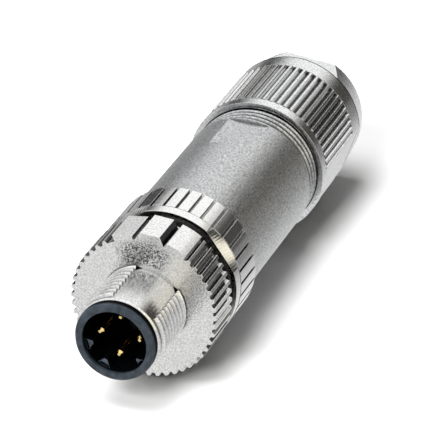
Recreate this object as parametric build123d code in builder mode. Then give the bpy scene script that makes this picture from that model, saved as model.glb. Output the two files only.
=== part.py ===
"""Field-wireable M12 plug with a metal housing, lying on its side.

Millimetres. The plug's axis is Y: the open nose points to -Y with its front face at Y = 0, and the cable
leaves at +Y. Z is up. Angles round the axis are counted from +Z towards +X.
"""
from build123d import *
from math import acos, cos, degrees, radians, sin
import os

os.makedirs("parts", exist_ok=True)

# Clearances
turning_gap = 0.08     # radial, between a nut and what it turns on
axial_gap = 0.15       # end play between a nut and what holds it
seat_gap = 0.03        # radial, between pieces that stay put
thread_gap = 0.08      # radial, between two threads drawn at their crests

# Overall
body_radius = 10.0     # the coupling nut, the front housing and the pressure nut share it
root_overlap = 0.2     # how far a raised feature reaches into the body that carries it

# Insert nose and contacts
lip_radius = 5.5
lip_length = 1.25
lip_round = 0.45
nose_radius = 4.92
cavity_radius = 4.42
cavity_depth = 8.8
insert_end = 18.0
pin_circle = 2.72
pin_radius = 0.5
pin_tip_taper = 0.3
shank_width = 1.3
pin_tip = 2.0
pin_count = 4
pin_angle = 3.0        # the first pin's angle round the axis
key_angle = 43.0
key_width = 1.25
key_height = 1.05
key_start = 0.7
rib_height = 0.42
rib_start = 0.9
rib_angles = (-108.0, -156.0, 129.0)
rib_widths = (1.5, 1.4, 0.9)

# Wire terminals behind the insert
block_radius = 6.3
block_flat_depth = 0.4
block_gap = 0.12
block_end = 27.0
barrel_width = 2.4
barrel_end = 26.0
wire_slot_width = 1.6
wire_slot_depth = 5.4
clamp_screw_radius = 0.75
clamp_screw_place = 23.4
clamp_screw_length = 2.3
clamp_screw_depth = 0.48
clamp_slot_width = 0.35
clamp_slot_depth = 0.5

# Coupling nut
collar_start = 1.4
flange_start = 10.3
flange_end = 16.2
collar_radius = 5.62
thread_radius = 6.0
thread_arc = 55.0
thread_segments = 3
thread_first_angle = 83.5
thread_start = 1.75
rim_chamfer = 0.25
flange_root = body_radius - 0.35
flange_teeth = 50
tooth_height = 0.47
tooth_foot = 0.84      # share of the pitch
tooth_top = 0.32
tooth_length = 5.0
land_radius = body_radius + 0.3
tab_angle = 5.5
tab_arc = 26.0
tab_top_arc = 14.5
tab_height = body_radius + 0.75
tab_length = 5.4
land_gap = 1.0
left_land_arc = 16.5
right_land_arc = 17.5

# Hub and grip ring of the front housing
hub_radius = 7.6
hub_start = 11.3
neck_step = 1.3
neck_start = 16.9
band_start = 18.3
band_radius = body_radius
band_flat_depth = 0.55
band_flat_angle = 55.0
grip_start = 19.9
grip_end = 25.5
grip_radius = body_radius + 0.05
grip_lands = 35
grip_groove = 0.38
grip_groove_depth = 0.4
grip_first_groove = 5.9
spigot_step = 1.35
spigot_end = 31.0

# Retaining ring and screen spring
ring_groove_place = 14.4
ring_groove_width = 1.0
ring_groove_depth = 0.6
ring_height = 1.0
ring_wire = 0.9
ring_opening = 40.0
spring_thickness = 0.3
spring_band = 0.7
spring_fingers = 6
spring_finger_length = 1.5
spring_finger_width = 1.6

# Sealing rings
insert_seal_height = 0.65
insert_seal_width = 0.9
housing_seal_width = 1.0
housing_seal_height = 0.7

# Sleeve
sleeve_start = 25.6
sleeve_step = 0.75
sleeve_end = 50.2
sleeve_flat_depth = 0.5
sleeve_flat_angle = 3.0
sleeve_flat_start = 41.8
sleeve_flat_rim = 0.3
rear_thread_step = 0.25
rear_thread_end = 62.0
throat_step = 0.7
gland_wall = 1.6
gland_start = 43.5

# Cable clamp
cable_radius = 3.7
shield_ring_length = 3.5
cage_ring_length = 5.5
cage_end = 62.0
cage_wall = 1.3
cage_fingers = 4
cage_slot = 0.9
cage_tip_wall = 0.5
cage_taper = 4.0
seal_setback = 1.0

# Pressure nut
nut_start = 53.9
nut_radius = body_radius
nut_knurl_rise = 0.12
nut_knurl_start = 55.6
nut_knurl_end = 67.5
nut_ribs = 60
nut_rib_depth = 0.55
rib_opening = 0.72
nut_flat_depth = 0.9
nut_flat_angle = 110.0
nut_shoulder = 70.6
nut_end = 74.8
tail_step = 0.1        # the tail is a cone behind the shoulder, with two flats
tail_taper = 0.88
tail_flat_depth = 1.9
tail_flat_angle = 7.0
nut_thread_end = 66.2
nut_seat_radius = 6.9
cable_bore = 4.6
thrust_thickness = 1.6


def across(place):
    """A plane square to the axis at Y = place, with its normal to -Y."""
    return Plane.XZ.offset(-place)


def turn(angle):
    """The same angle counted as in a sketch on such a plane, where 0 points to +X."""
    return 90 - angle


def spin_profile(*points):
    """Revolve a closed outline of (radius, place) points about the axis."""
    with BuildSketch(Plane.XY) as outline:
        with BuildLine():
            Polyline(*points, close=True)
        make_face()
    revolve(outline.sketch, axis=Axis.Y)


def cut_ring(inner, outer, start, end):
    """Cut a plain turned groove or bore."""
    with BuildSketch(across(end)) as ring:
        Circle(outer)
        Circle(inner, mode=Mode.SUBTRACT)
    extrude(ring.sketch, amount=end - start, mode=Mode.SUBTRACT)


def cut_flats(apothem, angle, start, end, count=2):
    """Mill flats round the axis, each at this distance from it."""
    with BuildSketch(across(end)) as waste:
        with PolarLocations(apothem + body_radius / 2, count, start_angle=turn(angle)):
            Rectangle(body_radius, 3 * body_radius)
    extrude(waste.sketch, amount=end - start, mode=Mode.SUBTRACT)


def sector(inner, outer, middle, arc):
    """A sketch face between two radii and round an arc, in the open sketch."""
    low = turn(middle + arc / 2)
    high = turn(middle - arc / 2)
    half = (low + high) / 2
    with BuildLine() as outline:
        face_low = Line(polar(inner, low), polar(outer, low))
        face_high = Line(polar(outer, high), polar(inner, high))
        ThreePointArc(face_low @ 1, polar(outer, half), face_high @ 0)
        ThreePointArc(face_high @ 1, polar(inner, half), face_low @ 0)
    make_face(outline.edges())


def polar(radius, angle):
    return (radius * cos(radians(angle)), radius * sin(radians(angle)))


# Contact carrier: nose ring, floor and shank in one moulding
with BuildPart() as contact_carrier:
    spin_profile(
        (0, cavity_depth), (cavity_radius, cavity_depth), (cavity_radius, 0), (lip_radius - lip_round, 0),
        (lip_radius - 0.3 * lip_round, 0.3 * lip_round), (lip_radius, lip_round), (lip_radius, lip_length),
        (nose_radius, lip_length), (nose_radius, insert_end), (0, insert_end),
    )
    with BuildSketch(across(cavity_depth)):
        with PolarLocations(cavity_radius + seat_gap - key_height / 2, 1, start_angle=turn(key_angle)):
            Rectangle(key_height, key_width)
    extrude(amount=cavity_depth - key_start)
    for rib_angle, rib_width in zip(rib_angles, rib_widths):
        with BuildSketch(across(cavity_depth)):
            with PolarLocations(cavity_radius + seat_gap - rib_height / 2, 1, start_angle=turn(rib_angle)):
                Rectangle(rib_height, rib_width)
        extrude(amount=cavity_depth - rib_start)
    with BuildSketch(across(insert_end)):
        with PolarLocations(pin_circle, pin_count, start_angle=turn(pin_angle)):
            Rectangle(shank_width + 2 * seat_gap, shank_width + 2 * seat_gap)
    extrude(amount=insert_end - cavity_depth, mode=Mode.SUBTRACT)
contact_carrier.part.label = "contact_carrier"
export_step(contact_carrier.part, "parts/contact_carrier.step")

# Contacts with a square shank and a channel for the wire, and the radial clamp screws
screw_seat = pin_circle + barrel_width / 2 - clamp_screw_depth
screw_planes = []
for number in range(pin_count):
    angle = pin_angle + number * 360 / pin_count
    spot = polar(pin_circle, turn(angle))
    outward = (sin(radians(angle)), 0, cos(radians(angle)))
    screw_plane = Plane(origin=(0, clamp_screw_place, 0), z_dir=outward)
    screw_planes.append(screw_plane)
    with BuildPart() as contact:
        with BuildSketch(across(insert_end)):
            with PolarLocations(pin_circle, 1, start_angle=turn(angle)):
                Rectangle(shank_width, shank_width)
        extrude(amount=insert_end - cavity_depth)
        with BuildSketch(across(cavity_depth)):
            with Locations(spot):
                Circle(pin_radius)
        extrude(amount=cavity_depth - pin_tip)
        chamfer(contact.edges().filter_by(GeomType.CIRCLE).group_by(Axis.Y)[0], pin_tip_taper)
        with BuildSketch(across(barrel_end)):
            with PolarLocations(pin_circle, 1, start_angle=turn(angle)):
                Rectangle(barrel_width, barrel_width)
        extrude(amount=barrel_end - insert_end)
        with BuildSketch(across(barrel_end)):
            with PolarLocations(pin_circle + (barrel_width - wire_slot_width) / 2, 1, start_angle=turn(angle)):
                Rectangle(barrel_width, wire_slot_width)
        extrude(amount=wire_slot_depth, mode=Mode.SUBTRACT)
    contact.part.label = f"contact_pin_{number + 1}"
    export_step(contact.part, f"parts/{contact.part.label}.step")

    with BuildPart() as clamp_screw:
        with BuildSketch(screw_plane.offset(screw_seat)):
            Circle(clamp_screw_radius)
        extrude(amount=clamp_screw_length)
        with BuildSketch(screw_plane.offset(screw_seat + clamp_screw_length)):
            Rectangle(2 * clamp_screw_radius + seat_gap, clamp_slot_width)
        extrude(amount=-clamp_slot_depth, mode=Mode.SUBTRACT)
    clamp_screw.part.label = f"terminal_screw_{number + 1}"
    export_step(clamp_screw.part, f"parts/{clamp_screw.part.label}.step")

# Terminal block: pockets for the contacts, and a flat with a screw hole over each
with BuildPart() as terminal_block:
    spin_profile((0, insert_end), (block_radius, insert_end), (block_radius, block_end), (0, block_end))
    cut_flats(block_radius - block_flat_depth, pin_angle, insert_end, block_end, count=pin_count)
    with BuildSketch(across(block_end)):
        with PolarLocations(pin_circle, pin_count, start_angle=turn(pin_angle)):
            Rectangle(barrel_width + 2 * seat_gap, barrel_width + 2 * seat_gap)
    extrude(amount=block_end - insert_end, mode=Mode.SUBTRACT)
    for screw_plane in screw_planes:
        with BuildSketch(screw_plane.offset(pin_circle + barrel_width / 2)):
            Circle(clamp_screw_radius + 2 * seat_gap)
        extrude(amount=block_radius, mode=Mode.SUBTRACT)
terminal_block.part.label = "terminal_block"
export_step(terminal_block.part, "parts/terminal_block.step")

# Sealing ring between insert and hub
with BuildPart() as carrier_seal:
    spin_profile(
        (nose_radius + seat_gap, hub_start), (nose_radius + insert_seal_height - seat_gap, hub_start),
        (nose_radius + insert_seal_height - seat_gap, hub_start + insert_seal_width - seat_gap),
        (nose_radius + seat_gap, hub_start + insert_seal_width - seat_gap),
    )
carrier_seal.part.label = "carrier_seal"
export_step(carrier_seal.part, "parts/carrier_seal.step")

# Coupling nut: collar with three threaded arcs, flange with tab, lands and knurl
hub_bore = hub_radius + turning_gap
nose_bore = nose_radius + turning_gap
hub_recess = hub_start - spring_thickness - 2 * axial_gap
left_land_middle = tab_angle - (tab_arc + left_land_arc) / 2
right_land_middle = tab_angle + (tab_arc + right_land_arc) / 2
plain_arc = tab_arc + left_land_arc + right_land_arc
plain_middle = tab_angle + (right_land_arc - left_land_arc) / 2
with BuildPart() as coupling_nut:
    spin_profile(
        (nose_bore, collar_start), (collar_radius - rim_chamfer, collar_start),
        (collar_radius, collar_start + rim_chamfer), (collar_radius, flange_start),
        (flange_root, flange_start), (flange_root, flange_end), (hub_bore, flange_end),
        (hub_bore, hub_recess), (nose_bore, hub_recess),
    )
    for segment in range(thread_segments):
        with BuildSketch(across(flange_start)):
            middle = thread_first_angle + segment * 360 / thread_segments
            sector(collar_radius - root_overlap, thread_radius, middle, thread_arc)
        extrude(amount=flange_start - thread_start)
    tooth_pitch = 360 / flange_teeth
    for tooth in range(flange_teeth):
        middle = 180 + (tooth - (flange_teeth - 1) / 2) * tooth_pitch
        if abs(middle - plain_middle - 180) > 180 - plain_arc / 2 - tooth_pitch / 2:
            continue
        with BuildSketch(across(flange_start + tooth_length)):
            with BuildLine():
                Polyline(
                    polar(flange_root - root_overlap, turn(middle - tooth_pitch * tooth_foot / 2)),
                    polar(flange_root + tooth_height, turn(middle - tooth_pitch * tooth_top / 2)),
                    polar(flange_root + tooth_height, turn(middle + tooth_pitch * tooth_top / 2)),
                    polar(flange_root - root_overlap, turn(middle + tooth_pitch * tooth_foot / 2)),
                    close=True,
                )
            make_face()
        extrude(amount=tooth_length)
    for land_middle, land_arc in ((left_land_middle, left_land_arc), (right_land_middle, right_land_arc)):
        with BuildSketch(across(flange_end)):
            sector(flange_root - root_overlap, land_radius, land_middle, land_arc - land_gap)
        extrude(amount=flange_end - flange_start)
    with BuildSketch(across(flange_start + tab_length)):
        with BuildLine():
            Polyline(
                polar(flange_root - root_overlap, turn(tab_angle - tab_arc / 2)),
                polar(tab_height, turn(tab_angle - tab_top_arc / 2)),
                polar(tab_height, turn(tab_angle + tab_top_arc / 2)),
                polar(flange_root - root_overlap, turn(tab_angle + tab_arc / 2)), close=True,
            )
        make_face()
    extrude(amount=tab_length)
    ring_room = hub_radius - ring_groove_depth + ring_height + 2 * axial_gap
    ring_half = ring_groove_width / 2 + axial_gap
    cut_ring(hub_bore - root_overlap, ring_room, ring_groove_place - ring_half, ring_groove_place + ring_half)
coupling_nut.part.label = "coupling_nut"
export_step(coupling_nut.part, "parts/coupling_nut.step")

# Split ring that keeps the coupling nut on the hub
with BuildPart() as coupling_retainer:
    groove_floor = hub_radius - ring_groove_depth
    with BuildSketch(across(ring_groove_place + ring_wire / 2)):
        sector(groove_floor + seat_gap, groove_floor + ring_height, 0, 360 - ring_opening)
    extrude(amount=ring_wire)
coupling_retainer.part.label = "coupling_retainer"
export_step(coupling_retainer.part, "parts/coupling_retainer.step")

# Star washer between hub and coupling nut
with BuildPart() as shield_spring:
    with BuildSketch(across(hub_start)):
        Circle(nose_radius + insert_seal_height + spring_band)
        with PolarLocations(nose_radius + insert_seal_height + spring_band, spring_fingers):
            Rectangle(spring_finger_length, spring_finger_width)
        Circle(nose_radius + insert_seal_height + seat_gap, mode=Mode.SUBTRACT)
    extrude(amount=spring_thickness)
shield_spring.part.label = "shield_spring"
export_step(shield_spring.part, "parts/shield_spring.step")

# Front housing: hub, flatted band, grip ring and the threaded spigot for the sleeve
neck_radius = body_radius - neck_step
sleeve_radius = body_radius - sleeve_step
spigot_radius = sleeve_radius - spigot_step
terminal_bore = block_radius + block_gap
spigot_bore = spigot_radius + thread_gap
housing_groove = spigot_bore - housing_seal_height
housing_seal_end = grip_end + housing_seal_width
with BuildPart() as front_housing:
    spin_profile(
        (nose_radius + insert_seal_height, hub_start), (hub_radius, hub_start),
        (hub_radius, neck_start), (neck_radius, neck_start), (neck_radius, band_start),
        (band_radius, band_start), (band_radius, grip_start), (grip_radius, grip_start),
        (grip_radius, grip_end), (housing_groove, grip_end), (housing_groove, housing_seal_end),
        (spigot_radius, housing_seal_end), (spigot_radius, spigot_end), (terminal_bore, spigot_end),
        (terminal_bore, insert_end), (nose_radius + seat_gap, insert_end),
        (nose_radius + seat_gap, hub_start + insert_seal_width),
        (nose_radius + insert_seal_height, hub_start + insert_seal_width),
    )
    cut_flats(band_radius - band_flat_depth, band_flat_angle, band_start, grip_start, count=4)
    with BuildSketch(across(grip_end)):
        with PolarLocations(grip_radius, grip_lands, start_angle=turn(grip_first_groove)):
            Rectangle(2 * grip_groove_depth, grip_groove)
    extrude(amount=grip_end - grip_start, mode=Mode.SUBTRACT)
    ring_half = ring_groove_width / 2
    cut_ring(
        hub_radius - ring_groove_depth, hub_radius + seat_gap,
        ring_groove_place - ring_half, ring_groove_place + ring_half,
    )
front_housing.part.label = "front_housing"
export_step(front_housing.part, "parts/front_housing.step")

# Sealing ring between front housing and sleeve
with BuildPart() as housing_seal:
    spin_profile(
        (housing_groove + seat_gap, grip_end + seat_gap), (spigot_bore - seat_gap, grip_end + seat_gap),
        (spigot_bore - seat_gap, housing_seal_end - seat_gap),
        (housing_groove + seat_gap, housing_seal_end - seat_gap),
    )
housing_seal.part.label = "housing_seal"
export_step(housing_seal.part, "parts/housing_seal.step")

# Sleeve: plain tube with wrench flats, rear thread and gland bore
rear_thread_radius = sleeve_radius - rear_thread_step
gland_radius = rear_thread_radius - gland_wall
throat_radius = gland_radius - throat_step
spigot_room = spigot_end + 2 * axial_gap
with BuildPart() as sleeve:
    spin_profile(
        (spigot_bore, sleeve_start), (sleeve_radius, sleeve_start), (sleeve_radius, sleeve_end),
        (rear_thread_radius, sleeve_end), (rear_thread_radius, rear_thread_end),
        (gland_radius, rear_thread_end), (gland_radius, gland_start), (throat_radius, gland_start),
        (throat_radius, spigot_room), (spigot_bore, spigot_room),
    )
    cut_flats(
        sleeve_radius - sleeve_flat_depth, sleeve_flat_angle, sleeve_flat_start, sleeve_end - sleeve_flat_rim,
    )
sleeve.part.label = "sleeve"
export_step(sleeve.part, "parts/sleeve.step")

# Screen ring that the braid is folded over
shield_ring_end = gland_start + shield_ring_length
with BuildPart() as shield_ring:
    spin_profile(
        (cable_radius, gland_start), (gland_radius - seat_gap, gland_start),
        (gland_radius - seat_gap, shield_ring_end), (cable_radius, shield_ring_end),
    )
shield_ring.part.label = "shield_ring"
export_step(shield_ring.part, "parts/shield_ring.step")

# Clamp cage: closed ring in front, slotted tapering fingers behind
cage_start = shield_ring_end + 2 * axial_gap
cage_radius = gland_radius - turning_gap
cage_bore = cage_radius - cage_wall
with BuildPart() as clamp_cage:
    spin_profile(
        (cage_bore, cage_start), (cage_radius, cage_start), (cage_radius, cage_end - cage_taper),
        (cage_bore + cage_tip_wall, cage_end), (cage_bore, cage_end),
    )
    with BuildSketch(across(cage_end)):
        with PolarLocations(cage_radius, cage_fingers, start_angle=turn(0)):
            Rectangle(2 * cage_wall + cage_slot, cage_slot)
    extrude(amount=cage_end - cage_start - cage_ring_length, mode=Mode.SUBTRACT)
clamp_cage.part.label = "clamp_cage"
export_step(clamp_cage.part, "parts/clamp_cage.step")

# Cable seal: soft grommet in the cage
with BuildPart() as cable_seal:
    seal_radius = cage_bore - seat_gap
    spin_profile(
        (cable_radius, cage_start), (seal_radius, cage_start),
        (seal_radius, cage_end - seal_setback), (cable_radius, cage_end - seal_setback),
    )
cable_seal.part.label = "cable_seal"
export_step(cable_seal.part, "parts/cable_seal.step")

# Thrust ring: slips against the pressure nut and stays unturned
nut_bore = rear_thread_radius + thread_gap
thrust_end = nut_thread_end + thrust_thickness
with BuildPart() as thrust_ring:
    spin_profile(
        (cable_bore, nut_thread_end), (nut_seat_radius - turning_gap, nut_thread_end),
        (nut_seat_radius - turning_gap, thrust_end), (cable_bore, thrust_end),
    )
thrust_ring.part.label = "thrust_ring"
export_step(thrust_ring.part, "parts/thrust_ring.step")

# Pressure nut: lip, knurl with two flats, shoulder and tapered tail with two flats
seat_floor = thrust_end + axial_gap
nut_plain_radius = nut_radius - nut_knurl_rise
tail_radius = nut_plain_radius - tail_step
nut_flat_apothem = nut_radius - nut_flat_depth
flat_half_angle = degrees(acos(nut_flat_apothem / nut_radius))
rib_pitch = 360 / nut_ribs
with BuildPart() as pressure_nut:
    spin_profile(
        (nut_bore, nut_start), (nut_plain_radius, nut_start), (nut_plain_radius, nut_knurl_start),
        (nut_radius, nut_knurl_start), (nut_radius, nut_knurl_end), (nut_plain_radius, nut_knurl_end),
        (nut_plain_radius, nut_shoulder), (tail_radius, nut_shoulder),
        (tail_radius - tail_taper, nut_end), (cable_bore, nut_end), (cable_bore, seat_floor),
        (nut_seat_radius, seat_floor), (nut_seat_radius, nut_thread_end), (nut_bore, nut_thread_end),
    )
    cut_flats(nut_radius - tail_flat_depth, tail_flat_angle, nut_shoulder, nut_end)
    cut_flats(nut_flat_apothem, nut_flat_angle, nut_knurl_start, nut_shoulder)
    for rib in range(nut_ribs):
        angle = rib * rib_pitch
        from_flat = abs((angle - nut_flat_angle + 90) % 180 - 90)
        if from_flat < flat_half_angle + rib_pitch / 4:
            continue
        with BuildSketch(across(nut_knurl_end)):
            with BuildLine():
                Polyline(
                    polar(nut_radius + seat_gap, turn(angle - rib_pitch * rib_opening / 2)),
                    polar(nut_radius - nut_rib_depth, turn(angle)),
                    polar(nut_radius + seat_gap, turn(angle + rib_pitch * rib_opening / 2)), close=True,
                )
            make_face()
        extrude(amount=nut_knurl_end - nut_knurl_start, mode=Mode.SUBTRACT)
pressure_nut.part.label = "pressure_nut"
export_step(pressure_nut.part, "parts/pressure_nut.step")
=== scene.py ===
"""Looks of the metal round plug: materials, threads, studio, camera.

Places and radii on the part are in millimetres, and MM makes metres of them; all else is in metres.
The axis is Y with the mating face at 0, and angles run from +Z towards +X.
"""
import bpy
import math
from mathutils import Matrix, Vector


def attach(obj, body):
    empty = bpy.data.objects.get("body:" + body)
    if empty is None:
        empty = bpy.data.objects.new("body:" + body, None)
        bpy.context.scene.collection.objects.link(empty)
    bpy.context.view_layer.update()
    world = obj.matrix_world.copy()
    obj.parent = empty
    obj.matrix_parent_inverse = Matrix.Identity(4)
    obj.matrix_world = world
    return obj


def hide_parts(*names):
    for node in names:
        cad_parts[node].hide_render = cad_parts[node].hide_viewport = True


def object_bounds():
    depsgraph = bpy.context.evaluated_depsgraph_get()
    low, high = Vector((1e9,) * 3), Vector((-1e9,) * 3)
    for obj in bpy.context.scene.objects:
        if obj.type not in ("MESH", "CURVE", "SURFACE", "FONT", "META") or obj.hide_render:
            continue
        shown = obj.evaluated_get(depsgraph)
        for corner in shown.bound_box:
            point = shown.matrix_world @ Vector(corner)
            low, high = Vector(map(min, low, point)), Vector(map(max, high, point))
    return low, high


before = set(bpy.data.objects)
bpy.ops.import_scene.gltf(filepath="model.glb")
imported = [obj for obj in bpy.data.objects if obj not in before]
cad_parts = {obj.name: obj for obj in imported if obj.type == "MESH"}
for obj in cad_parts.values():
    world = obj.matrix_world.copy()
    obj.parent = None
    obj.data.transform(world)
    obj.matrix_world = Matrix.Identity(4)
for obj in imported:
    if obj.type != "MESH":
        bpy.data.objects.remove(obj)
cad_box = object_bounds()
MM = 0.001

# nose: its bore, and the ends of the coding ribs in it
NOSE_BORE, RIB_ENDS = 4.42, (0.9, 8.8)
# coupling nut: collar and thread crest, arcs of the thread, toothed flange, land left of the tab
COLLAR, CREST, FRONT_DEPTH, FRONT_START, FLANGE_FRONT = 5.62, 6.0, 0.56, 1.75, 10.4
ARC_FIRST, ARC_HALF, ARC_STEPS = 83.5, 27.5, 28
TEETH_END, FLANGE_REAR, TOOTH_FLOOR = 15.3, 16.18, 9.55
LAND_LOW, LAND_FLAT, LAND_FROM, LAND_TO, LAND_FACING = 10.25, 10.14, -25, -7, -6
# front housing: flats of the band, and the slopes from them to the grip ring
BAND_FLAT, BAND_RADIUS, BAND_FACING, SLOPE_START, SLOPE_END, SLOPE_STEPS = 9.45, 9.97, 55, 18.28, 19.9, 16
# sleeve: its rear thread
REAR, REAR_DEPTH, REAR_START, REAR_END, REAR_COLUMNS = 9.0, 0.5, 50.2, 62.0, 160
# pressure nut: milled flats, and the start of the tail
MILLED, MILLED_FACING, TAIL_START = 9.1, math.radians(110), 70.4
# both threads: pitch, places per turn, profile, and how many turns the ends take
PITCH, TURN_STEPS, PROFILE_TOP, PROFILE_SLOPE, RUN_IN, RUN_OUT = 1.0, 12, 1.35, 3.4, 0.35, 0.6
SHARP = math.radians(22)


def new_material(name):
    mat = bpy.data.materials.new(name)
    mat.use_nodes = True
    tree = mat.node_tree
    tree.nodes.clear()
    out = tree.nodes.new("ShaderNodeOutputMaterial")
    bsdf = tree.nodes.new("ShaderNodeBsdfPrincipled")
    tree.links.new(bsdf.outputs["BSDF"], out.inputs["Surface"])
    return mat, tree, bsdf


def add(tree, kind, **values):
    node = tree.nodes.new(kind)
    for key, value in values.items():
        if key in node.inputs:
            node.inputs[key].default_value = value
        else:
            setattr(node, key, value)
    return node


def noise(tree, vector, scale, detail=3.0, rough=0.5, stretch=None):
    if stretch:
        mapping = add(tree, "ShaderNodeMapping")
        mapping.inputs["Scale"].default_value = stretch
        tree.links.new(vector, mapping.inputs["Vector"])
        vector = mapping.outputs["Vector"]
    node = add(tree, "ShaderNodeTexNoise", Scale=scale, Detail=detail, Roughness=rough)
    tree.links.new(vector, node.inputs["Vector"])
    return node.outputs["Fac"]


def remap(tree, value, low, high, start=0.3, end=0.7):
    node = add(tree, "ShaderNodeMapRange")
    node.inputs["From Min"].default_value = start
    node.inputs["From Max"].default_value = end
    node.inputs["To Min"].default_value = low
    node.inputs["To Max"].default_value = high
    tree.links.new(value, node.inputs["Value"])
    return node.outputs["Result"]


def remap_mm(tree, value, low, high, start, end):
    """A remap of a length, between two limits in millimetres."""
    return remap(tree, value, low, high, start * MM, end * MM)


def blend_colours(tree, value, dark, light, start=0.3, end=0.7):
    ramp = add(tree, "ShaderNodeValToRGB")
    ramp.color_ramp.elements[0].position = start
    ramp.color_ramp.elements[1].position = end
    ramp.color_ramp.elements[0].color = (*dark, 1)
    ramp.color_ramp.elements[1].color = (*light, 1)
    tree.links.new(value, ramp.inputs["Fac"])
    return ramp.outputs["Color"]


def bump(tree, bsdf, height, strength, distance, before=None):
    node = add(tree, "ShaderNodeBump", Strength=strength, Distance=distance)
    tree.links.new(height, node.inputs["Height"])
    if before is not None:
        tree.links.new(before, node.inputs["Normal"])
    tree.links.new(node.outputs["Normal"], bsdf.inputs["Normal"])
    return node.outputs["Normal"]


def math_node(tree, operation, first, second=None):
    node = add(tree, "ShaderNodeMath", operation=operation)
    for socket, value in zip(node.inputs, (first, second)):
        if value is None:
            continue
        if isinstance(value, (int, float)):
            socket.default_value = value
        else:
            tree.links.new(value, socket)
    return node.outputs[0]


def product(tree, *factors):
    total = factors[0]
    for factor in factors[1:]:
        total = math_node(tree, "MULTIPLY", total, factor)
    return total


def most(tree, *values):
    total = values[0]
    for value in values[1:]:
        total = math_node(tree, "MAXIMUM", total, value)
    return total


def axes_of(tree, vector):
    node = add(tree, "ShaderNodeSeparateXYZ")
    tree.links.new(vector, node.inputs[0])
    return [node.outputs[k] for k in "XYZ"]


def hypotenuse(tree, a, b):
    return math_node(tree, "SQRT", math_node(tree, "ADD", product(tree, a, a), product(tree, b, b)))


def crevices(tree, distance):
    """Openness of the place: low in grooves and corners."""
    node = add(tree, "ShaderNodeAmbientOcclusion", Distance=distance)
    node.samples = 8
    return node.outputs["AO"]


def multiply(tree, colour, factor):
    node = add(tree, "ShaderNodeMix", data_type="RGBA", blend_type="MULTIPLY")
    node.inputs["Factor"].default_value = 1.0
    tree.links.new(colour, node.inputs[6])
    tree.links.new(factor, node.inputs[7])
    return node.outputs[2]


def mix_shader(tree, share, first, second):
    node = add(tree, "ShaderNodeMixShader")
    for socket, value in zip(node.inputs, (share, first, second)):
        tree.links.new(value, socket)
    return node.outputs[0]


def metal(name, dark, light, rough, grain, grain_height, wave=0.0, rings=None, edge=0.0, face_grain=0.0,
          crevice_shade=None, speck=0.0, mark=None):
    """Plated metal: grainy colour and roughness, fine grain, slow waviness, rounded edges, painted shade in
    crevices and from a mark.
    """
    mat, tree, bsdf = new_material(name)
    coords = add(tree, "ShaderNodeTexCoord")
    place = coords.outputs["Object"]
    along = axes_of(tree, place)[1]
    facing = axes_of(tree, coords.outputs["Normal"])[1]
    bsdf.inputs["Metallic"].default_value = 1.0
    colour = blend_colours(tree, noise(tree, place, 900.0, 2.0), dark, light)
    if speck:
        specks = noise(tree, place, 4000.0, 2.0, 0.7)
        colour = multiply(tree, colour, remap(tree, specks, 1.0 - speck, 1.0, 0.36, 0.60))
    if crevice_shade:
        # painted shade darkens the crevices, but the front face of the flange stays free of it
        darkest, reach, unshaded_from = crevice_shade
        unshaded_face = product(tree, remap(tree, facing, 1.0, 0.0, -0.45, -0.15),
                        remap_mm(tree, along, 0.0, 1.0, FLANGE_FRONT - 0.6, FLANGE_FRONT - 0.3),
                        remap_mm(tree, along, 1.0, 0.0, FLANGE_FRONT + 0.2, FLANGE_FRONT + 0.6))
        painted_crevice_shade = remap(tree, crevices(tree, reach), darkest, 1.0, 0.22, unshaded_from)
        colour = multiply(tree, colour, most(tree, unshaded_face, painted_crevice_shade))
    # the mark paints shade into the colour
    if mark:
        colour = multiply(tree, colour, mark(tree, coords))
    tree.links.new(colour, bsdf.inputs["Base Color"])
    patch = noise(tree, place, grain * 0.45, 3.0, 0.6)
    tree.links.new(remap(tree, patch, rough[0], rough[1]), bsdf.inputs["Roughness"])
    normal = None
    if edge:
        rounded = add(tree, "ShaderNodeBevel", Radius=edge)
        rounded.samples = 6
        normal = rounded.outputs["Normal"]
    normal = bump(tree, bsdf, noise(tree, place, 260.0, 1.0), wave, 0.0002, normal)
    normal = bump(tree, bsdf, noise(tree, place, grain, 4.0, 0.65), 1.0, grain_height, normal)
    if rings:
        # turning marks: rings along the axis
        lines = noise(tree, place, rings[0], 2.0, 0.7, stretch=(0.02, 1.0, 0.02))
        normal = bump(tree, bsdf, lines, 1.0, rings[1], normal)
    if face_grain:
        # the end faces are coarser than the rest
        share = remap(tree, math_node(tree, "ABSOLUTE", facing), 0.0, 1.0, 0.7, 0.9)
        height = product(tree, noise(tree, place, 3200.0, 2.0, 0.6), share)
        bump(tree, bsdf, height, 1.0, face_grain, normal)
    return mat


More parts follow.
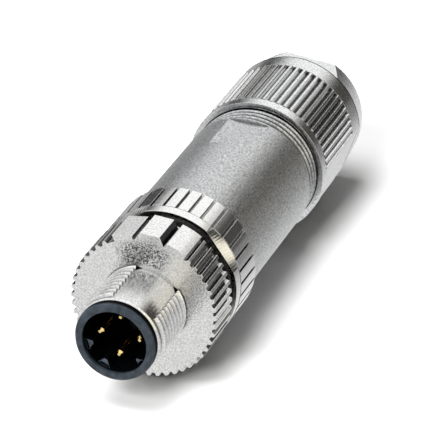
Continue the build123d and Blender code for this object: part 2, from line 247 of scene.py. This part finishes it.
def painted_nut_shade(tree, coords):
    """Painted shade on the nut: a speckled dark patch on its face below the tab, the right-facing flanks of the
    teeth, and the roots of the thread.
    """
    x, y, z = axes_of(tree, coords.outputs["Object"])
    aside, front, upward = axes_of(tree, coords.outputs["Normal"])
    radius = hypotenuse(tree, x, z)
    along = math_node(tree, "ADD", product(tree, x, 0.017), z)
    share = product(tree, remap(tree, math_node(tree, "DIVIDE", along, radius), 0.0, 1.0, 0.87, 0.95),
                    remap_mm(tree, radius, 0.0, 1.0, 5.9, 6.3), remap_mm(tree, radius, 1.0, 0.0, 8.8, 9.8),
                    remap(tree, front, 1.0, 0.0, -0.9, -0.6))
    speckled_shade = remap(tree, noise(tree, coords.outputs["Object"], 4200.0, 2.0, 0.6), 0.85, 0.05, 0.42, 0.56)
    flank_shade = math_node(tree, "SUBTRACT", product(tree, aside, z), product(tree, upward, x))
    flank_shade = product(tree, remap(tree, math_node(tree, "DIVIDE", flank_shade, radius), 0.0, 0.88, 0.40, 0.70),
                    remap_mm(tree, radius, 0.0, 1.0, 9.0, 9.3))
    from_middle = math_node(tree, "ABSOLUTE", math_node(tree, "SUBTRACT", y, 6.0 * MM))
    groove_shade = most(tree, remap_mm(tree, radius, 0.15, 1.0, 5.45, 5.65),
                  remap_mm(tree, from_middle, 0.0, 1.0, 4.2, 4.3))
    dark = most(tree, product(tree, share, speckled_shade), flank_shade)
    return product(tree, math_node(tree, "SUBTRACT", 1.0, dark), groove_shade)


def painted_thread_shade(tree, coords):
    """Painted shade in the grooves of the sleeve's thread, and painted shade under whatever covers the thread."""
    x, y, z = axes_of(tree, coords.outputs["Object"])
    shade = most(tree, remap(tree, crevices(tree, 2.0 * MM), 0.03, 1.0, 0.45, 0.75),
                 remap_mm(tree, y, 1.0, 0.0, 51.0, 52.0))
    groove_shade = most(tree, remap_mm(tree, hypotenuse(tree, x, z), 0.12, 1.0, 8.6, 8.9),
                  remap_mm(tree, y, 1.0, 0.0, 50.3, 50.5))
    return product(tree, shade, groove_shade)


def gap(tree, coords):
    """Deep shade between the coupling nut and the ring behind it."""
    x, y, z = axes_of(tree, coords.outputs["Object"])
    return most(tree, remap_mm(tree, hypotenuse(tree, x, z), 0.08, 1.0, 8.7, 9.1),
                remap_mm(tree, y, 0.0, 1.0, 18.35, 18.5))


def painted_shoulder_shade(tree, coords):
    """Painted shade: a dark line in the corner before the tail of the pressure nut, and darker milled flats in
    place of a darker reflection.
    """
    y = axes_of(tree, coords.outputs["Object"])[1]
    normal = axes_of(tree, coords.outputs["Normal"])
    line = product(tree, remap_mm(tree, y, 0.0, 0.95, 70.3, 70.5), remap_mm(tree, y, 1.0, 0.0, 70.9, 71.1))
    toward = math_node(tree, "ADD", product(tree, normal[0], math.sin(MILLED_FACING)),
                       product(tree, normal[2], math.cos(MILLED_FACING)))
    dull = product(tree, remap(tree, math_node(tree, "ABSOLUTE", toward), 0.0, 0.26, 0.985, 0.997),
                   remap_mm(tree, y, 0.0, 1.0, 53.5, 54.0))
    return math_node(tree, "SUBTRACT", 1.0, most(tree, line, dull))


def moulded(name, dark, light, rough, grain, height, pocket=False):
    """Moulded plastic or rubber; with a pocket, painted shade darkens the pocket but for the end face, and the
    ends of the ribs get a painted highlight.
    """
    mat, tree, bsdf = new_material(name)
    coords = add(tree, "ShaderNodeTexCoord")
    place = coords.outputs["Object"]
    colour = blend_colours(tree, noise(tree, place, grain * 0.3, 3.0), dark, light)
    patch = noise(tree, place, grain * 0.5, 3.0)
    tree.links.new(remap(tree, patch, rough[0], rough[1]), bsdf.inputs["Roughness"])
    bump(tree, bsdf, noise(tree, place, grain, 3.0), 1.0, height)
    if pocket:
        along = axes_of(tree, place)[1]
        facing = axes_of(tree, coords.outputs["Normal"])[1]
        # painted shade inside the pocket, painted highlight on the ends of the ribs
        rim = remap_mm(tree, along, 1.0, 0.04, 0.3, 0.6)
        ends = product(tree, remap(tree, facing, 1.0, 0.0, -0.9, -0.5), remap_mm(tree, along, 1.7, 0.0, 1.2, 1.6),
                       remap_mm(tree, along, 0.0, 1.0, 0.75, 0.85))
        lit = most(tree, rim, ends)
        colour = multiply(tree, colour, lit)
        tree.links.new(product(tree, lit, 0.3), bsdf.inputs["Specular IOR Level"])
    else:
        bsdf.inputs["Specular IOR Level"].default_value = 0.3
    tree.links.new(colour, bsdf.inputs["Base Color"])
    return mat


# dark and light colour, roughness, scale and height of the grain, then the rest by name
nickel = metal("nickel_cast", (0.84, 0.84, 0.835), (0.88, 0.88, 0.875), (0.10, 0.20), 4200.0, 0.000006, 0.02,
               edge=0.00012, face_grain=0.00004, crevice_shade=(0.02, 0.0009, 0.88), speck=0.28, mark=painted_nut_shade)
housing = metal("nickel_housing", (0.82, 0.82, 0.815), (0.87, 0.87, 0.865), (0.10, 0.20), 4200.0, 0.000006, 0.02,
                edge=0.00012, crevice_shade=(0.01, 0.0022, 0.80), speck=0.15, mark=gap)
blasted = metal("nickel_blasted", (0.73, 0.74, 0.75), (0.78, 0.79, 0.80), (0.30, 0.42), 4000.0, 0.000030, 0.0,
                edge=0.00006, crevice_shade=(0.04, 0.0007, 0.90), speck=0.55, mark=painted_thread_shade)
turned = metal("nickel_turned", (0.80, 0.805, 0.81), (0.86, 0.865, 0.87), (0.14, 0.24), 4500.0, 0.000014, 0.02,
               (9000.0, 0.0000015), edge=0.00008, crevice_shade=(0.10, 0.0005, 0.85), speck=0.28, mark=painted_shoulder_shade)
steel = metal("spring_steel", (0.50, 0.50, 0.49), (0.62, 0.62, 0.60), (0.25, 0.38), 5000.0, 0.000002, 0.02)
gold = metal("gold_plate", (0.78, 0.56, 0.22), (0.86, 0.66, 0.30), (0.12, 0.22), 5000.0, 0.000001, 0.02)
nose = moulded("nose_plastic", (0.009, 0.013, 0.018), (0.034, 0.044, 0.057), (0.38, 0.55), 3000.0, 0.000014, True)
plastic = moulded("black_plastic", (0.012, 0.016, 0.022), (0.034, 0.042, 0.054), (0.38, 0.55), 3000.0, 0.000010)
rubber = moulded("seal_rubber", (0.012, 0.012, 0.012), (0.03, 0.03, 0.03), (0.6, 0.8), 3000.0, 0.000006)

finishes = {
    "contact_carrier": nose, "terminal_block": plastic, "clamp_cage": plastic, "thrust_ring": plastic,
    "coupling_nut": nickel, "front_housing": housing, "sleeve": blasted, "pressure_nut": turned,
    "carrier_seal": rubber, "housing_seal": rubber, "cable_seal": rubber,
    "coupling_retainer": steel, "shield_spring": steel, "shield_ring": turned,
}
for number in range(1, 5):
    finishes[f"contact_pin_{number}"] = gold
    finishes[f"terminal_screw_{number}"] = steel
for node, finish in finishes.items():
    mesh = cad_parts[node].data
    mesh.materials.clear()
    mesh.materials.append(finish)


def polar(radius, angle, place):
    """A point in metres, from a radius and a place along the axis in millimetres and an angle."""
    return (radius * math.sin(angle) * MM, place * MM, radius * math.cos(angle) * MM)


def without(node, gone=lambda corners: False):
    """The vertices and faces of a node, apart from the faces that the test picks by their corners."""
    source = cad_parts[node].data
    keep = [p for p in source.polygons if not gone([source.vertices[i].co / MM for i in p.vertices])]
    return [tuple(v.co) for v in source.vertices], [tuple(p.vertices) for p in keep]


def thread(verts, faces, crest, depth, start, end, angles, closed):
    """Turns of a thread between two places along the axis, on an arc or all the way round.

    Every column holds the profile at its angle: flat crests and roots that climb with the angle.
    """
    root = crest - depth
    foot = root - 0.15
    count = math.ceil((end - start) / PITCH * TURN_STEPS) + 1
    places = [start + (end - start) * k / (count - 1) for k in range(count)]
    columns = []
    for angle in angles:
        columns.append(len(verts))
        for place in places:
            turn = (place / PITCH - angle / (2 * math.pi)) % 1.0
            height = min(1.0, max(0.0, PROFILE_TOP - abs(turn - 0.5) * PROFILE_SLOPE))
            edge = min(place - start, end - place) / (RUN_IN * PITCH)
            height *= min(1.0, max(0.0, edge))
            if not closed:
                height = max(height, 1.0 - (end - place) / (RUN_OUT * PITCH))
            verts.append(polar(root + depth * height, angle, place))
    for a, b in zip(columns, columns[1:] + (columns[:1] if closed else [])):
        for k in range(count - 1):
            faces.append((a + k, b + k, b + k + 1, a + k + 1))
    if closed:
        return
    # side walls of the arc
    for column, angle, flip in ((columns[0], angles[0], False), (columns[-1], angles[-1], True)):
        base = len(verts)
        verts.extend(polar(foot, angle, place) for place in places)
        for k in range(count - 1):
            quad = (column + k, column + k + 1, base + k + 1, base + k)
            faces.append(tuple(reversed(quad)) if flip else quad)
    # front and rear walls of the arc
    for k in (0, count - 1):
        base = len(verts)
        verts.extend(polar(foot, angle, places[k]) for angle in angles)
        for j in range(len(angles) - 1):
            quad = (columns[j] + k, columns[j + 1] + k, base + j + 1, base + j)
            faces.append(quad if k else tuple(reversed(quad)))


def new_object(name, verts, faces, mat, body):
    mesh = bpy.data.meshes.new(name)
    mesh.from_pydata(verts, [], faces)
    mesh.materials.append(mat)
    obj = bpy.data.objects.new(name, mesh)
    bpy.context.scene.collection.objects.link(obj)
    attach(obj, body)
    return obj


def stand_in(name, verts, faces, mat, body, node):
    """A new piece in place of a node, smooth but for its edges."""
    obj = new_object(name, verts, faces, mat, body)
    obj.data.validate()
    for polygon in obj.data.polygons:
        polygon.use_smooth = True
    obj.data.set_sharp_from_angle(angle=SHARP)
    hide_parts(node)


def in_pads(corners):
    """Faces of the collar's three plain pads, which the arcs of the thread take the place of."""
    radii = [math.hypot(c.x, c.z) for c in corners]
    return (COLLAR + 0.1 < max(radii) < CREST + 0.05 and min(radii) > COLLAR - 0.05
            and max(c.y for c in corners) < FLANGE_FRONT)


def in_rear_thread(corners):
    """Faces of the sleeve's plain rear cylinder."""
    return all(abs(math.hypot(c.x, c.z) - REAR) < 0.02 for c in corners)


verts, faces = without("coupling_nut", in_pads)
for k, (x, y, z) in enumerate(verts):
    radius, angle = math.hypot(x, z), math.atan2(x, z)
    # the teeth run on to the end of the flange
    if abs(y - TEETH_END * MM) < 0.1 * MM and radius > TOOTH_FLOOR * MM:
        y = FLANGE_REAR * MM
        verts[k] = (x, y, z)
    # the left land is flat, and faces a little to the left of straight up
    if radius > LAND_LOW * MM and math.radians(LAND_FROM) < angle < math.radians(LAND_TO):
        verts[k] = polar(LAND_FLAT / math.cos(angle - math.radians(LAND_FACING)), angle, y / MM)
for segment in range(3):
    first = ARC_FIRST - ARC_HALF + 120 * segment
    angles = [math.radians(first + 2 * ARC_HALF * k / ARC_STEPS) for k in range(ARC_STEPS + 1)]
    thread(verts, faces, CREST, FRONT_DEPTH, FRONT_START, FLANGE_FRONT, angles, False)
stand_in("coupling_nut_threaded", verts, faces, nickel, "coupling", "coupling_nut")

verts, faces = without("sleeve", in_rear_thread)
angles = [2 * math.pi * k / REAR_COLUMNS for k in range(REAR_COLUMNS)]
thread(verts, faces, REAR, REAR_DEPTH, REAR_START, REAR_END, angles, True)
stand_in("sleeve_threaded", verts, faces, blasted, "plug_body", "sleeve")

# the milled flats of the pressure nut run through its tail
verts, faces = without("pressure_nut")
side_x, side_z = math.sin(MILLED_FACING), math.cos(MILLED_FACING)
for k, (x, y, z) in enumerate(verts):
    reach = x * side_x + z * side_z
    if y > TAIL_START * MM and abs(reach) > MILLED * MM:
        back = math.copysign(MILLED * MM, reach) - reach
        verts[k] = (x + back * side_x, y, z + back * side_z)
stand_in("pressure_nut_milled", verts, faces, turned, "gland_nut", "pressure_nut")

# the coding ribs in the nose are wedges: angle, width, height
verts, faces = [], []
for middle, width, height in ((-108, 1.7, 1.05), (-156, 1.8, 1.0), (129, 1.0, 0.9)):
    base = len(verts)
    half = math.asin(width / 2 / NOSE_BORE)
    angle = math.radians(middle)
    for place in RIB_ENDS:
        verts.append(polar(NOSE_BORE + 0.01, angle - half, place))
        verts.append(polar(NOSE_BORE + 0.01, angle + half, place))
        verts.append(polar(NOSE_BORE - height, angle + 0.5 * half, place))
        verts.append(polar(NOSE_BORE - height, angle - 0.1 * half, place))
    faces += [(base, base + 1, base + 2, base + 3), (base + 7, base + 6, base + 5, base + 4),
              (base + 1, base + 5, base + 6, base + 2), (base + 2, base + 6, base + 7, base + 3),
              (base + 3, base + 7, base + 4, base)]
new_object("coding_ribs", verts, faces, nose, "plug_body")

# each flat of the band slopes up to the edge of the grip ring behind it
verts, faces = [], []
for quarter in range(4):
    middle = math.radians(BAND_FACING + 90 * quarter)
    base = len(verts)
    for k in range(SLOPE_STEPS + 1):
        across = math.sqrt(BAND_RADIUS ** 2 - BAND_FLAT ** 2) * (2 * k / SLOPE_STEPS - 1)
        rise = math.sqrt(BAND_RADIUS ** 2 - across ** 2)
        for out, place in ((BAND_FLAT + 0.01, SLOPE_START), (rise, SLOPE_END)):
            verts.append(polar(math.hypot(out, across), middle + math.atan2(across, out), place))
    for a in range(base, base + 2 * SLOPE_STEPS, 2):
        faces.append((a, a + 1, a + 3, a + 2))
new_object("band_slopes", verts, faces, housing, "plug_body")

# floor
bpy.ops.mesh.primitive_plane_add(size=6.0, location=(0, 0, cad_box[0].z))
floor = bpy.context.object
floor.name = "floor"
mat, tree, bsdf = new_material("floor_white")
bsdf.inputs["Roughness"].default_value = 0.9
bsdf.inputs["Specular IOR Level"].default_value = 0.0
bsdf.inputs["Base Color"].default_value = (0.90, 0.90, 0.90, 1)
# metal sees the table as a glowing pale sheet, a painted reflection, with painted shade behind the part and to
# its right
x, y, z = axes_of(tree, add(tree, "ShaderNodeTexCoord").outputs["Object"])
behind = remap(tree, y, 0.0, 1.0, 0.008, 0.022)
left = remap(tree, x, 0.0, 0.42, -0.035, -0.010)
right = remap(tree, x, 0.0, 0.62, 0.009, 0.040)
dull = most(tree, math_node(tree, "SUBTRACT", 0.42, left), right)
level = math_node(tree, "SUBTRACT", 0.88, product(tree, behind, dull))
sheen = add(tree, "ShaderNodeEmission")
tree.links.new(level, sheen.inputs["Strength"])
ray = add(tree, "ShaderNodeLightPath")
direct = math_node(tree, "LESS_THAN", ray.outputs["Diffuse Depth"], 0.5)
seen_by_metal = product(tree, ray.outputs["Is Glossy Ray"], direct)
near_floor = mix_shader(tree, seen_by_metal, bsdf.outputs["BSDF"], sheen.outputs["Emission"])
# far from the part the floor runs into the white of the room
far = product(tree, remap(tree, hypotenuse(tree, x, y), 0.0, 1.0, 0.12, 0.24), ray.outputs["Is Camera Ray"])
white = add(tree, "ShaderNodeEmission", Strength=1.0)
tree.links.new(mix_shader(tree, far, near_floor, white.outputs["Emission"]),
               tree.nodes["Material Output"].inputs["Surface"])
floor.data.materials.append(mat)

# room: a bright panel above and behind the part, open to the left, in a dark room; in front the room is pale,
# most of all to the right
world = bpy.data.worlds.new("studio")
bpy.context.scene.world = world
world.use_nodes = True
tree = world.node_tree
tree.nodes.clear()
out = tree.nodes.new("ShaderNodeOutputWorld")
x, y, z = axes_of(tree, add(tree, "ShaderNodeTexCoord").outputs["Generated"])
panel = product(tree, remap(tree, z, 0.0, 1.12, 0.27, 0.43), remap(tree, x, 1.0, 0.0, 0.22, 0.44),
                remap(tree, y, 0.0, 1.0, -0.10, 0.20))
top = remap(tree, z, 0.0, 1.05, 0.68, 0.85)
front = product(tree, most(tree, remap(tree, z, 0.62, 1.15, 0.20, 0.42), remap(tree, x, 0.0, 1.15, -0.02, 0.20)),
                remap(tree, y, 1.0, 0.0, -0.30, 0.0))
sides = most(tree, remap(tree, x, 0.0, 1.1, 0.70, 0.85), remap(tree, x, 0.9, 0.0, -0.88, -0.72))
level = math_node(tree, "ADD", most(tree, panel, front, top, sides), 0.07)
# what stands to the right is warmer
warm = remap(tree, x, 0.0, 1.0, 0.15, 0.70)
grey = add(tree, "ShaderNodeCombineColor")
for socket, share in zip(grey.inputs[:3], (0.0, 0.05, 0.20)):
    tint = math_node(tree, "SUBTRACT", 1.0, product(tree, warm, share))
    tree.links.new(product(tree, level, tint), socket)
inside = add(tree, "ShaderNodeBackground", Strength=1.0)
tree.links.new(grey.outputs[0], inside.inputs["Color"])
ambient = add(tree, "ShaderNodeBackground", Color=(0.06, 0.06, 0.06, 1), Strength=1.0)
white = add(tree, "ShaderNodeBackground", Color=(1, 1, 1, 1), Strength=1.0)
ray = add(tree, "ShaderNodeLightPath")
soft = mix_shader(tree, math_node(tree, "GREATER_THAN", ray.outputs["Diffuse Depth"], 0.5), inside.outputs[0],
                  ambient.outputs[0])
tree.links.new(mix_shader(tree, ray.outputs["Is Camera Ray"], soft, white.outputs[0]), out.inputs["Surface"])


def lamp(name, at, aim, size, power):
    data = bpy.data.lights.new(name, "AREA")
    data.shape = "RECTANGLE"
    data.size, data.size_y = size
    data.energy = power
    obj = bpy.data.objects.new(name, data)
    bpy.context.scene.collection.objects.link(obj)
    obj.location = at
    obj.rotation_euler = (Vector(aim) - Vector(at)).to_track_quat("-Z", "Y").to_euler()
    obj.visible_glossy = False


lamp("key", (-0.13, -0.10, 0.75), (0, 0.03, 0), (0.52, 0.5), 7.0)
lamp("fill", (-0.15, -0.80, 0.62), (0, 0.03, 0), (0.5, 0.4), 11.0)

# the camera, as fitted to the photo
camera = bpy.data.objects.new("camera", bpy.data.cameras.new("camera"))
bpy.context.scene.collection.objects.link(camera)
camera.location = (0.140236, -0.342396, 0.206047)
camera.rotation_euler = [math.radians(a) for a in (62.9829, 0.1529, 20.0999)]
camera.data.sensor_width = 36.0
camera.data.lens = 272.67
camera.data.clip_start, camera.data.clip_end = 0.01, 20.0
bpy.context.scene.camera = camera
bpy.context.scene.view_settings.view_transform = "Standard"
